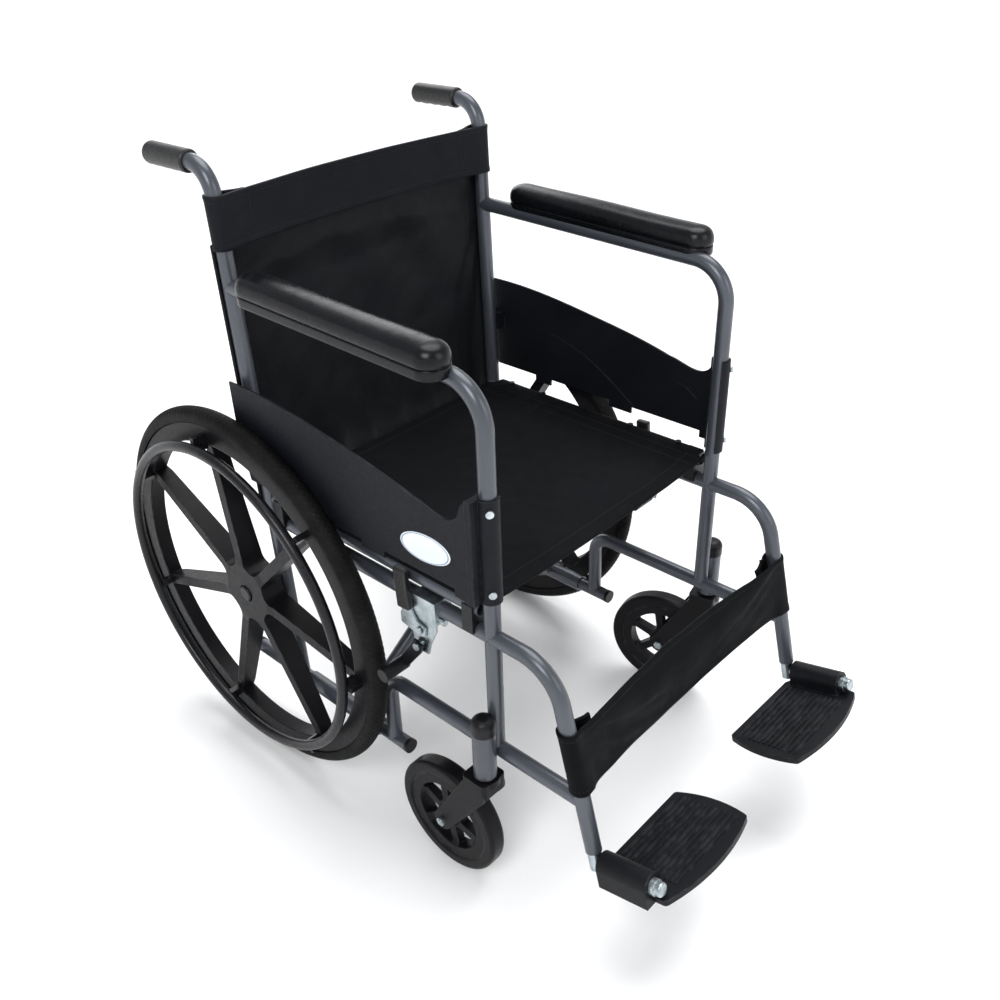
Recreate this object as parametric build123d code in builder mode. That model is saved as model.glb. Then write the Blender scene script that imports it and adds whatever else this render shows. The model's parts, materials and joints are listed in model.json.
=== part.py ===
from build123d import *
from math import cos, hypot, radians, sin, tan
import os

# A folding manual wheelchair.  +Z is up, the chair faces -Y and the floor is z = 0.
# Distances named "..._y" are measured back from the front posts; post_y places those posts.

post_y = -247

# Frame tubes
frame_x = 243
tube = 22
wall = 1.6
bore = tube - 2 * wall
low_z = 129
lower_rail_z = 246
rail_z = 431
seat_z = 466

# Back post: its foot on the low tube, its lean, and the push handle at its top
post_foot_y = 433
lean = radians(1.82)
handle_z = 935
handle_end_y = 586
handle_bend = 40

# Arm tube, side rail with its hanger leg, and lower rail
arm_corner_z = 767
arm_rear_z = 780.5
arm_bend = 55
hanger_corner_y = -97.75
hanger_end_z = 170
hanger_slope = 0.25
hanger_bend = 67
lower_corner_y = 212
lower_bend = 30
low_front_y = 184
low_rear_y = 545

# Rear wheel
wheel_x = 286
wheel_y = 472
wheel_z = 302
tyre_section = 30
rim_seat = 274
spoke_count = 7
spoke_width = 17
axle_d = 12.7
hub_bearing_d = 28.6
hub_bearing_in = 12
bearing_h = 8
spoke_turn = {1: 70, -1: -83.5}
rim_half = 12
lip_inside = 9.6
lip_high = rim_seat + 6.5
hub_in = -27
hub_out = 11
handrim_radius = 253.5
handrim_section = 16
handrim_offset = 36

# Caster
caster_x = 268
caster_radius = 90
caster_width = 27
caster_trail = 70
caster_spokes = 6
fork_inside = 33
fork_wall = 5
housing_d = 32
housing_low = 215
housing_high = 290
stem_d = 12
caster_bearing_d = 28
caster_axle_d = 8
caster_rim_r = 70
caster_swing = {1: 13, -1: 0}

# Folding brace
brace_tube_y = 293
brace_gap_y = 24
bolt_d = 8
washer_d = 16
sleeve_d = 28
sleeve_start_y = 242
sleeve_end_y = 410
seat_start_y = 16
seat_end_y = 426
seat_screw_ys = (60, 150, 240, 330, 400)
saddle_high = 472

# Side panel, arm pad, seat, back and calf strap
panel_x = 264
panel_thick = 3
panel_low = 488
panel_edge = 499
panel_high = 633
panel_rear_y = 462
panel_tabs = ((165, 209), (331, 364))
screw_heights = (505, 618)
screw_d = 5
screw_turn = radians(50)
pad_width = 49
pad_out = 15
pad_start_y = 41
pad_end_y = 400
pad_bottom = 1.7
pad_height = 39
cloth = 3
cloth_gap = 0.4
back_low = 440
back_band_low = 830
back_high = 900
back_sag = 20
calf_low = 262
calf_high = 346

# Brake: its pivots, the plates' planes and the bar that presses on the tyre
lever_pivot = (113, 395)
arm_pivot = (116, 369)
brake_bar = (150, 322)
brake_plate = 3
bracket_x = 256
lever_x = 260
arm_x = 264.6
grip_x = 259.2
grip_thick = 10
pin_d = 6

# Footrest
pin_start = 166.8
pin_z = 154.7
foot_pin_d = 14
barrel_d = 34
barrel_start = 13
barrel_end = 89
plate_drop = 21
plate_thick = 8
plate_reach = 183
plate_length = 116

# Running and seating clearances
running = 0.05
seating = 0.02


def at(y, z):
    """A point of a side view, from its distance behind the front posts."""
    return (post_y + y, z)


def post_back(z):
    """How far the back post's axis is behind the front posts at a height."""
    return post_foot_y + (z - low_z) * tan(lean)


def hanger_back(z):
    """How far the hanger leg's axis is behind the front posts at a height."""
    return hanger_corner_y - (rail_z - z) * hanger_slope


def side_view(side, x=frame_x):
    """A fore-and-aft plane: local x runs to the rear and local y runs up."""
    return Plane.YZ.offset(side * x)


def inner_face(side, x, thick):
    """The side view from which a plate standing at x extrudes along +X to its thickness."""
    return side_view(side, x if side > 0 else x + thick)


def rod(start, end, outer, inner=0):
    """A round bar, or a round tube, between two points."""
    run = Vector(end) - Vector(start)
    with BuildPart() as piece:
        with BuildSketch(Plane(origin=start, z_dir=run)):
            Circle(outer / 2)
            if inner:
                Circle(inner / 2, mode=Mode.SUBTRACT)
        extrude(amount=run.length)
    return piece.part


def bent_tube(points, bend, plane, outer, inner=0, trims=()):
    """A tube bent along a route in a plane and coped against other tubes."""
    with BuildPart() as piece:
        with BuildLine(plane) as route:
            FilletPolyline(*points, radius=bend)
        with BuildSketch(Plane(origin=route.line @ 0, z_dir=route.line % 0)):
            Circle(outer / 2)
            if inner:
                Circle(inner / 2, mode=Mode.SUBTRACT)
        sweep()
        for trim in trims:
            add(trim, mode=Mode.SUBTRACT)
    return piece.part


def rail_route():
    end_y = hanger_back(hanger_end_z)
    return [at(post_back(rail_z), rail_z), at(hanger_corner_y, rail_z), at(end_y, hanger_end_z)]


def post_route():
    corner_y = post_back(handle_z)
    return [at(post_foot_y, low_z), at(corner_y, handle_z), at(handle_end_y, handle_z)]


def lower_route():
    front_y = hanger_back(lower_rail_z)
    return [
        at(front_y, lower_rail_z),
        at(lower_corner_y, lower_rail_z),
        at(lower_corner_y, low_z),
    ]


def low_rod(side, outer):
    x = side * frame_x
    return rod((x, *at(low_front_y, low_z)), (x, *at(low_rear_y, low_z)), outer)


def plate(outline, plane, thick):
    """A flat plate with straight edges."""
    with BuildPart() as piece:
        with BuildSketch(plane):
            with BuildLine():
                Polyline(*outline, close=True)
            make_face()
        extrude(amount=thick)
    return piece.part


def back_post(side):
    """The back post with its push handle, and the plate and sleeve that hold the rear axle."""
    x = side * frame_x
    sleeve_half = 12
    plate_half = 3
    low_cut = low_rod(side, tube)
    post_y_here = post_back(wheel_z)
    web = [
        at(post_y_here - 2, wheel_z - 46),
        at(post_y_here + 12, wheel_z - 44),
        at(wheel_y + 4, wheel_z - 13),
        at(wheel_y + 4, wheel_z + 13),
        at(post_y_here + 12, wheel_z + 44),
        at(post_y_here - 2, wheel_z + 46),
    ]
    with BuildPart() as piece:
        add(bent_tube(post_route(), handle_bend, side_view(side), tube))
        add(plate(web, Plane.YZ.offset(x - plate_half), 2 * plate_half))
        with BuildSketch(Plane.YZ.offset(x - sleeve_half)):
            with Locations(at(wheel_y, wheel_z)):
                Circle(13)
        extrude(amount=2 * sleeve_half)
        with BuildSketch(Plane.YZ.offset(x - sleeve_half)):
            with Locations(at(wheel_y, wheel_z)):
                Circle(axle_d / 2 + seating)
        extrude(amount=2 * sleeve_half, mode=Mode.SUBTRACT)
        add(bent_tube(post_route(), handle_bend, side_view(side), bore), mode=Mode.SUBTRACT)
        add(low_cut, mode=Mode.SUBTRACT)
    return piece.part


def arm_tube(side):
    """The front post that bends back into the arm."""
    route = [at(0, rail_z), at(0, arm_corner_z), at(post_back(arm_rear_z), arm_rear_z)]
    post = bent_tube(post_route(), handle_bend, side_view(side), tube)
    rail = bent_tube(rail_route(), hanger_bend, side_view(side), tube)
    holes = [rod(screw_point(side, z, 0), screw_point(side, z, 30), screw_d) for z in screw_heights]
    return bent_tube(route, arm_bend, side_view(side), tube, bore, [post, rail, *holes])


def side_rail(side):
    """The seat-height rail, bent down at the front into the hanger leg."""
    post = bent_tube(post_route(), handle_bend, side_view(side), tube)
    return bent_tube(rail_route(), hanger_bend, side_view(side), tube, bore, [post])


def lower_frame(side):
    """The lower rail and its rear leg, the low tube, the front leg and the caster housing."""
    x = side * frame_x
    rail = bent_tube(rail_route(), hanger_bend, side_view(side), tube)
    seat_d = caster_bearing_d + 2 * seating
    leg_low = (x, *at(0, lower_rail_z))
    leg_high = (x, *at(0, rail_z))
    swivel_x = side * caster_x
    mouth = (swivel_x, *at(0, housing_low))
    top = (swivel_x, *at(0, housing_high))
    with BuildPart() as piece:
        add(bent_tube(lower_route(), lower_bend, side_view(side), tube))
        add(low_rod(side, tube))
        add(rod(leg_low, leg_high, tube))
        add(rod(mouth, top, housing_d))
        add(bent_tube(lower_route(), lower_bend, side_view(side), bore), mode=Mode.SUBTRACT)
        add(low_rod(side, bore), mode=Mode.SUBTRACT)
        add(rod(leg_low, leg_high, bore), mode=Mode.SUBTRACT)
        add(rod(mouth, top, 23), mode=Mode.SUBTRACT)
        add(rod(mouth, (swivel_x, *at(0, housing_low + bearing_h)), seat_d), mode=Mode.SUBTRACT)
        add(rod((swivel_x, *at(0, housing_high - bearing_h)), top, seat_d), mode=Mode.SUBTRACT)
        add(rail, mode=Mode.SUBTRACT)
    return piece.part


def handgrip(side):
    """A moulded grip with a domed end and four finger scallops under it."""
    x = side * frame_x
    start_y = 499
    end_y = 592
    grip_d = 30
    scallop_r = 15
    scallop_pitch = 19.5
    with BuildPart() as piece:
        with BuildSketch(Plane.XZ.offset(-(post_y + start_y))):
            with Locations((x, handle_z)):
                Circle(grip_d / 2)
        extrude(amount=-(end_y - start_y))
        fillet(piece.edges().group_by(Axis.Y)[-1], 7)
        fillet(piece.edges().group_by(Axis.Y)[0], 3)
        for index in range(4):
            middle = start_y + 18 + index * scallop_pitch
            with BuildSketch(Plane.YZ.offset(x - grip_d / 2)):
                with Locations(at(middle, handle_z - grip_d / 2 - scallop_r + 3)):
                    Circle(scallop_r)
            extrude(amount=grip_d, mode=Mode.SUBTRACT)
        with BuildSketch(Plane.XZ.offset(-(post_y + start_y))):
            with Locations((x, handle_z)):
                Circle(tube / 2 + seating)
        extrude(amount=-(handle_end_y - start_y + 0.5), mode=Mode.SUBTRACT)
    return piece.part


def arm_pad(side):
    """A padded armrest set over the outer side of the arm tube."""
    slope = (arm_rear_z - arm_corner_z) / post_back(arm_rear_z)
    middle_y = (pad_start_y + pad_end_y) / 2
    middle_z = arm_corner_z + middle_y * slope
    length = pad_end_y - pad_start_y
    base = Plane(
        origin=(side * (frame_x + pad_out), *at(middle_y, middle_z)),
        x_dir=(1, 0, 0),
        z_dir=(0, -slope, 1),
    )
    arm_far = rod(
        (side * frame_x, *at(0, arm_corner_z)),
        (side * frame_x, *at(post_back(arm_rear_z), arm_rear_z)),
        tube + 2 * seating,
    )
    with BuildPart() as piece:
        with BuildSketch(base.offset(pad_bottom)):
            SlotOverall(length, pad_width, rotation=90)
        extrude(amount=pad_height)
        fillet(piece.faces().sort_by(Axis.Z)[-1].edges(), 12)
        fillet(piece.faces().sort_by(Axis.Z)[0].edges(), 4)
        add(arm_far, mode=Mode.SUBTRACT)
    return piece.part


def panel_outline():
    """The side panel's edge: a dip behind the front post, a long crest, and tabs below."""
    with BuildLine() as edge:
        rim = Polyline(at(12, panel_high), at(22, 622), at(27, 607))
        dip = Spline(rim @ 1, at(43, 595), at(60, 595), at(99, 604))
        crest = Spline(dip @ 1, at(169, 620), at(243, 632), at(321, 643), at(panel_rear_y, 650))
        below = [at(panel_rear_y, 575), at(panel_rear_y - 13, panel_edge)]
        for start_y, end_y in reversed(panel_tabs):
            below += [at(end_y, panel_edge), at(end_y, panel_low)]
            below += [at(start_y, panel_low), at(start_y, panel_edge)]
        below += [at(38, panel_edge), at(38, panel_low), at(12, panel_low)]
        Polyline(crest @ 1, *below, at(12, panel_high))
    return edge.line


def side_panel(side):
    """The clothing guard: a thin moulded sheet hooked round the front post and the back post."""
    post_x = side * frame_x
    hook_r = tube / 2 + 0.3
    hook_wall = 3
    post_gap = 0.1
    with BuildPart() as piece:
        with BuildSketch(inner_face(side, panel_x, panel_thick)):
            with BuildLine():
                add(panel_outline())
            make_face()
        extrude(amount=panel_thick)
        with BuildSketch(Plane.XY.offset(panel_low)):
            with Locations((post_x, post_y)):
                Circle(hook_r + hook_wall)
            with Locations((post_x + side * (hook_r + hook_wall), post_y + 8)):
                Rectangle(2 * (hook_r + hook_wall - 2), 10)
            with Locations((post_x, post_y)):
                Circle(hook_r, mode=Mode.SUBTRACT)
            with Locations((post_x - side * 14, post_y + 6)):
                Rectangle(24, 30, mode=Mode.SUBTRACT)
        extrude(amount=panel_high - panel_low)
        with BuildSketch(Plane.XY.offset(570)):
            with Locations((side * (panel_x - 8), post_y + post_back(585) - 4)):
                Rectangle(17, 22)
        extrude(amount=28)
        back = bent_tube(post_route(), handle_bend, side_view(side), tube + 2 * post_gap)
        add(back, mode=Mode.SUBTRACT)
        keep = rod((post_x, *at(0, panel_low)), (post_x, *at(0, panel_high)), 2 * hook_r)
        add(keep, mode=Mode.SUBTRACT)
        for z in screw_heights:
            start = (post_x, *at(0, z))
            add(rod(start, screw_point(side, z, 30), screw_d), mode=Mode.SUBTRACT)
    return piece.part


def screw_point(side, z, reach):
    """A point out along a panel screw, which enters the front post at an angle."""
    return (side * (frame_x + reach * cos(screw_turn)), post_y - reach * sin(screw_turn), z)


def panel_screws(side):
    """The two screws that hold the panel to the front post."""
    with BuildPart() as piece:
        for z in screw_heights:
            add(rod(screw_point(side, z, 6), screw_point(side, z, 15), screw_d - 0.1))
            add(rod(screw_point(side, z, 14.4), screw_point(side, z, 17.4), 10))
    return piece.part


def end_caps(side):
    """The caster housing's cap and the caps on both ends of the low tube."""
    x = side * frame_x
    swivel = (side * caster_x, post_y)
    cap_high = housing_high + 24
    with BuildPart() as piece:
        with BuildSketch(Plane.XY.offset(housing_high)):
            with Locations(swivel):
                Circle(housing_d / 2 + 0.8)
        extrude(amount=cap_high - housing_high)
        fillet(piece.edges().group_by(Axis.Z)[-1], 11)
        with BuildSketch(Plane.XY.offset(housing_high)):
            with Locations(swivel):
                Circle(12.5)
        extrude(amount=12, mode=Mode.SUBTRACT)
        leg = rod((x, *at(0, housing_low)), (x, *at(0, rail_z)), tube + 0.4)
        add(leg, mode=Mode.SUBTRACT)
        add(rod((x, *at(low_front_y - 6, low_z)), (x, *at(low_front_y, low_z)), tube + 1))
        add(rod((x, *at(low_front_y, low_z)), (x, *at(low_front_y + 12, low_z)), bore - 0.1))
        add(rod((x, *at(low_rear_y, low_z)), (x, *at(low_rear_y + 7, low_z)), tube + 2))
        add(rod((x, *at(low_rear_y - 14, low_z)), (x, *at(low_rear_y, low_z)), bore - 0.1))
    return piece.part


def seat_saddles(side):
    """Two open cradles on the side rail that the seat rail drops into."""
    x = side * frame_x
    half = 14
    length = 18
    with BuildPart() as piece:
        for y in (seat_start_y + 14, seat_end_y - 18):
            with BuildSketch(Plane.XZ.offset(-(post_y + y - length / 2))):
                with Locations((x, (rail_z + saddle_high) / 2)):
                    Rectangle(2 * half, saddle_high - rail_z)
                with Locations((x, seat_z)):
                    Circle(tube / 2 + 0.4, mode=Mode.SUBTRACT)
                with Locations((x, seat_z + tube / 2)):
                    Rectangle(tube + 0.8, tube, mode=Mode.SUBTRACT)
                with Locations((x, rail_z)):
                    Circle(tube / 2, mode=Mode.SUBTRACT)
                with Locations((x, rail_z - 3)):
                    Rectangle(tube, 6, mode=Mode.SUBTRACT)
            extrude(amount=-length)
    return piece.part


def wheel_plane(side, across=0):
    """The rear wheel's plane: local x to the rear, normal outboard."""
    return Plane(
        origin=(side * (wheel_x + across), *at(wheel_y, wheel_z)),
        x_dir=(0, 1, 0),
        z_dir=(side, 0, 0),
    )


def spoked(face, profile_plane, profile, axle, hub_r, ring_r, outer_r, spokes, width, corners, phase):
    """A spoked disc: its front outline, kept inside the shape that its side profile sweeps."""
    with BuildPart() as piece:
        with BuildSketch(profile_plane):
            with BuildLine():
                Polyline(*profile, close=True)
            make_face()
        revolve(axis=axle)
        with BuildSketch(face) as front:
            Circle(outer_r)
            Circle(ring_r, mode=Mode.SUBTRACT)
            Circle(hub_r)
            with PolarLocations(0, spokes, start_angle=phase):
                with Locations((ring_r / 2, 0)):
                    Rectangle(ring_r + 2, width)
            inside = [v for v in front.vertices() if hub_r * 0.9 < local_radius(v) < ring_r * 1.02]
            near_hub = [v for v in inside if local_radius(v) < (hub_r + ring_r) / 2]
            near_ring = [v for v in inside if local_radius(v) >= (hub_r + ring_r) / 2]
            fillet(near_hub, corners[0])
            fillet(near_ring, corners[1])
        extrude(amount=200, both=True, mode=Mode.INTERSECT)
    return piece.part


def local_radius(vertex):
    """How far a sketch's vertex is from its plane's origin."""
    return hypot(vertex.X, vertex.Y)


def wheel(side):
    """The moulded rear wheel: hub, seven deep spokes and a rim with two lips for the tyre."""
    centre = (side * wheel_x, *at(wheel_y, wheel_z))
    axle = Axis(centre, (1, 0, 0))
    profile_plane = Plane(origin=centre, x_dir=(side, 0, 0), z_dir=(0, -side, 0))
    face = wheel_plane(side)
    profile = [
        (hub_out, 0),
        (hub_out, 50),
        (hub_out - 2, 66),
        (rim_half - 3, 244),
        (rim_half, 254),
        (rim_half, lip_high),
        (lip_inside, lip_high),
        (lip_inside, rim_seat),
        (-lip_inside, rim_seat),
        (-lip_inside, lip_high),
        (-rim_half, lip_high),
        (-rim_half, 254),
        (-rim_half - 3, 240),
        (hub_in, 60),
        (hub_in, 0),
    ]
    phase = spoke_turn[side]
    blank = spoked(
        face, profile_plane, profile, axle, 48, 252, 290, spoke_count, spoke_width, (16, 13), phase
    )
    with BuildPart() as piece:
        add(blank)
        with BuildSketch(face.offset(hub_in)):
            Circle(axle_d / 2 + 2)
        extrude(amount=hub_out - hub_in, mode=Mode.SUBTRACT)
        for start, deep in ((hub_in, bearing_h), (hub_out - hub_bearing_in, hub_bearing_in)):
            with BuildSketch(face.offset(start)):
                Circle(hub_bearing_d / 2 + seating)
            extrude(amount=deep, mode=Mode.SUBTRACT)
    return piece.part


def wheel_bearings(side):
    """The two ball bearings in the rear hub, as closed rings."""
    with BuildPart() as piece:
        for start in (hub_in, hub_out - hub_bearing_in):
            with BuildSketch(wheel_plane(side).offset(start)):
                Circle(hub_bearing_d / 2)
                Circle(axle_d / 2 + running, mode=Mode.SUBTRACT)
            extrude(amount=bearing_h)
    return piece.part


def tyre(side):
    """The rear tyre, with a foot seated between the rim's lips and three grooves in its tread."""
    centre = (side * wheel_x, *at(wheel_y, wheel_z))
    profile_plane = Plane(origin=centre, x_dir=(side, 0, 0), z_dir=(0, -side, 0))
    crown = wheel_z - tyre_section / 2
    foot_half = 9.5
    groove = 1.6
    with BuildPart() as piece:
        with BuildSketch(profile_plane):
            with Locations((0, crown)):
                Circle(tyre_section / 2)
            with Locations((0, (rim_seat + lip_high) / 2)):
                Rectangle(2 * foot_half, lip_high - rim_seat)
            with Locations((0, lip_high / 2)):
                Rectangle(60, lip_high, mode=Mode.SUBTRACT)
            with Locations((0, (rim_seat + lip_high) / 2)):
                Rectangle(2 * foot_half, lip_high - rim_seat)
            with Locations((-5, wheel_z - 0.8), (0, wheel_z), (5, wheel_z - 0.8)):
                Rectangle(groove, 2 * groove, mode=Mode.SUBTRACT)
        revolve(axis=Axis(centre, (1, 0, 0)))
    return piece.part


def handrim(side):
    """The push ring and the seven pegs that join it to the rim."""
    centre = (side * wheel_x, *at(wheel_y, wheel_z))
    profile_plane = Plane(origin=centre, x_dir=(side, 0, 0), z_dir=(0, -side, 0))
    phase = spoke_turn[side]
    with BuildPart() as piece:
        with BuildSketch(profile_plane):
            with Locations((handrim_offset, handrim_radius)):
                Circle(handrim_section / 2)
        revolve(axis=Axis(centre, (1, 0, 0)))
        with BuildSketch(wheel_plane(side).offset(rim_half)):
            with PolarLocations(handrim_radius + 5, spoke_count, start_angle=phase):
                Rectangle(22, 9)
        extrude(amount=handrim_offset - rim_half - 3)
    return piece.part


def rear_axle(side):
    """The axle bolt with its head in the hub and its nut inside the frame."""
    face = wheel_plane(side)
    inner_end = frame_x - 12 - wheel_x
    with BuildPart() as piece:
        with BuildSketch(face.offset(inner_end - 8)):
            Circle(axle_d / 2)
        extrude(amount=hub_out - (inner_end - 8))
        with BuildSketch(face.offset(inner_end - 7)):
            RegularPolygon(11, 6)
        extrude(amount=7)
        with BuildSketch(face.offset(frame_x + 12 - wheel_x)):
            Circle(9.5)
        extrude(amount=hub_in - 0.2 - (frame_x + 12 - wheel_x))
        with BuildSketch(face.offset(hub_out - 3.8)):
            Circle(12.5)
        extrude(amount=6.8)
        fillet(piece.faces().sort_by(Axis.X)[-1 if side > 0 else 0].edges(), 3)
    return piece.part


def brake_bracket(side):
    """The clamp on the side rail and the plate below it that carries both brake pivots."""
    rail = bent_tube(rail_route(), hanger_bend, side_view(side), tube)
    inner_x = frame_x - 14 if side > 0 else frame_x + 14
    with BuildPart() as piece:
        with BuildSketch(side_view(side, inner_x)):
            with BuildLine():
                Polyline(at(86, 411), at(128, 411), at(128, 446), at(86, 446), close=True)
            make_face()
        extrude(amount=28)
        add(rail, mode=Mode.SUBTRACT)
        with BuildSketch(inner_face(side, bracket_x, brake_plate)):
            with BuildLine():
                Polyline(
                    at(86, 446),
                    at(86, 402),
                    at(100, 372),
                    at(104, 356),
                    at(128, 356),
                    at(132, 384),
                    at(128, 446),
                    close=True,
                )
            make_face()
        extrude(amount=brake_plate)
        add(brake_pin(side, lever_pivot, bracket_x - 2.5, 264.4))
        add(brake_pin(side, arm_pivot, bracket_x - 2.5, 268.4))
        add(rod((side * 250, *at(77, 416)), (side * 250, *at(86.5, 416)), 9))
        add(rail, mode=Mode.SUBTRACT)
    return piece.part


def brake_pin(side, pivot, inner, outer):
    """A riveted pin of the brake, standing out of its plate."""
    with BuildPart() as piece:
        add(rod((side * inner, *at(*pivot)), (side * (outer + 1), *at(*pivot)), pin_d))
        add(rod((side * outer, *at(*pivot)), (side * (outer + 2.5), *at(*pivot)), 11))
    return piece.part


def brake_lever(side):
    """The flat hand lever that turns on the upper pin."""
    with BuildPart() as piece:
        with BuildSketch(inner_face(side, lever_x, brake_plate)):
            with BuildLine():
                Polyline(
                    at(103, 402),
                    at(104, 388),
                    at(114, 384),
                    at(148, 392),
                    at(148, 408),
                    at(143, 420),
                    at(147, 470),
                    at(131, 474),
                    at(127, 420),
                    at(118, 406),
                    close=True,
                )
            make_face()
        extrude(amount=brake_plate)
        hole = rod((side * 250, *at(*lever_pivot)), (side * 270, *at(*lever_pivot)), pin_d + 2 * running)
        add(hole, mode=Mode.SUBTRACT)
    return piece.part


def brake_grip(side):
    """The plastic sleeve on the hand lever."""
    middle = at(138.5, 452)
    with BuildPart() as piece:
        with BuildSketch(inner_face(side, grip_x, grip_thick)):
            with Locations(Location((*middle, 0), (0, 0, -3.5))):
                Rectangle(22, 62)
        extrude(amount=grip_thick)
        fillet(piece.edges(), 3)
        add(brake_lever(side), mode=Mode.SUBTRACT)
    return piece.part


def brake_arm(side):
    """The brake arm on the lower pin, and the sleeved bar that presses on the tyre."""
    with BuildPart() as piece:
        with BuildSketch(inner_face(side, arm_x, brake_plate)):
            with BuildLine():
                Polyline(
                    at(106, 374),
                    at(110, 360),
                    at(142, 318),
                    at(156, 326),
                    at(128, 366),
                    at(122, 378),
                    close=True,
                )
            make_face()
        extrude(amount=brake_plate)
        add(rod((side * 262, *at(*brake_bar)), (side * 304, *at(*brake_bar)), 20))
        hole = rod((side * 250, *at(*arm_pivot)), (side * 270, *at(*arm_pivot)), pin_d + 2 * running)
        add(hole, mode=Mode.SUBTRACT)
    return piece.part


def swing(side, across=0, trail=0, height=0):
    """The caster's fore-and-aft plane, turned about its swivel: local x trails, local y is up."""
    turn = radians(caster_swing[side])
    lateral = Vector(cos(turn), sin(turn), 0)
    trailing = Vector(-sin(turn), cos(turn), 0)
    origin = Vector(side * caster_x, post_y, height) + lateral * across + trailing * trail
    return Plane(origin=origin, x_dir=trailing, z_dir=lateral)


def caster_point(side, across, trail, height):
    return tuple(swing(side, across, trail, height).origin)


def caster_fork(side):
    """The caster fork, with its crown and the stem that turns in the housing."""
    half = fork_inside / 2
    legs_start = (half, -half - fork_wall)
    top = housing_low - 3
    with BuildPart() as piece:
        for across in legs_start:
            with BuildSketch(swing(side, across)):
                with Locations((6, top - 22)):
                    Circle(21)
                with Locations((caster_trail, caster_radius)):
                    Circle(15)
                make_hull()
            extrude(amount=fork_wall)
        crown = Plane(origin=swing(side, 0, 4, top).origin, x_dir=swing(side).z_dir, z_dir=(0, 0, 1))
        with BuildSketch(crown):
            RectangleRounded(2 * (half + fork_wall), 42, 6)
        extrude(amount=-24)
        centre = (side * caster_x, post_y)
        with BuildSketch(Plane.XY.offset(top)):
            with Locations(centre):
                Circle(housing_d / 2 + 4)
        extrude(amount=-10)
        with BuildSketch(Plane.XY.offset(top)):
            with Locations(centre):
                Circle(8.5)
        extrude(amount=2.8)
        with BuildSketch(Plane.XY.offset(top)):
            with Locations(centre):
                Circle(stem_d / 2)
        extrude(amount=housing_high + 7 - top)
        with BuildSketch(Plane.XY.offset(housing_high + 0.2)):
            with Locations(centre):
                RegularPolygon(9.5, 6)
        extrude(amount=6.8)
        hole = rod(
            caster_point(side, -30, caster_trail, caster_radius),
            caster_point(side, 30, caster_trail, caster_radius),
            caster_axle_d,
        )
        add(hole, mode=Mode.SUBTRACT)
    return piece.part


def caster_axle(side):
    """The caster's axle bolt with its head and nut."""
    half = fork_inside / 2 + fork_wall
    with BuildPart() as piece:
        with BuildSketch(swing(side, -half - 6, caster_trail, caster_radius)):
            Circle(caster_axle_d / 2)
        extrude(amount=2 * half + 12)
        with BuildSketch(swing(side, half, caster_trail, caster_radius)):
            RegularPolygon(7.5, 6)
        extrude(amount=5)
        with BuildSketch(swing(side, -half - 5, caster_trail, caster_radius)):
            RegularPolygon(7.5, 6)
        extrude(amount=5)
    return piece.part


def caster_frame(side):
    """The caster wheel's centre, axle and the plane that its profiles are drawn in."""
    centre = caster_point(side, 0, caster_trail, caster_radius)
    lateral = swing(side).z_dir
    axle = Axis(centre, lateral)
    profile_plane = Plane(origin=centre, x_dir=lateral, z_dir=lateral.cross(Vector(0, 0, 1)))
    return axle, profile_plane


def caster_wheel(side):
    """The caster's moulded wheel with six rounded openings."""
    axle, profile_plane = caster_frame(side)
    hub_half = fork_inside / 2 - 0.6
    profile = [
        (hub_half, 0),
        (hub_half, 13),
        (7, 20),
        (6, 50),
        (11, 56),
        (11, caster_rim_r),
        (-11, caster_rim_r),
        (-11, 56),
        (-6, 50),
        (-7, 20),
        (-hub_half, 13),
        (-hub_half, 0),
    ]
    face = swing(side, 0, caster_trail, caster_radius)
    blank = spoked(face, profile_plane, profile, axle, 22, 55, 80, caster_spokes, 13, (5, 5), 20)
    with BuildPart() as piece:
        add(blank)
        with BuildSketch(swing(side, -20, caster_trail, caster_radius)):
            Circle(caster_axle_d / 2 + running)
        extrude(amount=40, mode=Mode.SUBTRACT)
    return piece.part


def caster_tyre(side):
    """The caster's solid tyre."""
    axle, profile_plane = caster_frame(side)
    with BuildPart() as piece:
        with BuildSketch(profile_plane):
            with Locations((0, 80)):
                RectangleRounded(caster_width, 20 - 0.02, 6)
            with Locations((0, 75)):
                Rectangle(22, 10)
            with Locations((0, caster_rim_r / 2)):
                Rectangle(60, caster_rim_r, mode=Mode.SUBTRACT)
        revolve(axis=axle)
    return piece.part


def caster_bearings(side):
    """The two swivel bearings in the caster housing, as closed rings."""
    with BuildPart() as piece:
        for z in (housing_low, housing_high - bearing_h):
            with BuildSketch(Plane.XY.offset(z)):
                with Locations((side * caster_x, post_y)):
                    Circle(caster_bearing_d / 2)
                    Circle(stem_d / 2 + running, mode=Mode.SUBTRACT)
            extrude(amount=bearing_h)
    return piece.part


def hinge_plane(side):
    """The footplate's hinge: local x inboard, local y square to the leg, normal forward."""
    tilt = Vector(0, -1, hanger_slope).normalized()
    return Plane(
        origin=(side * frame_x, *at(-pin_start, pin_z)),
        x_dir=(-side, 0, 0),
        z_dir=tilt,
    )


def hinge_up(side):
    """Local direction of "up" in the hinge plane, which mirrors with the side."""
    return 1 if hinge_plane(side).y_dir.Z > 0 else -1


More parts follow.
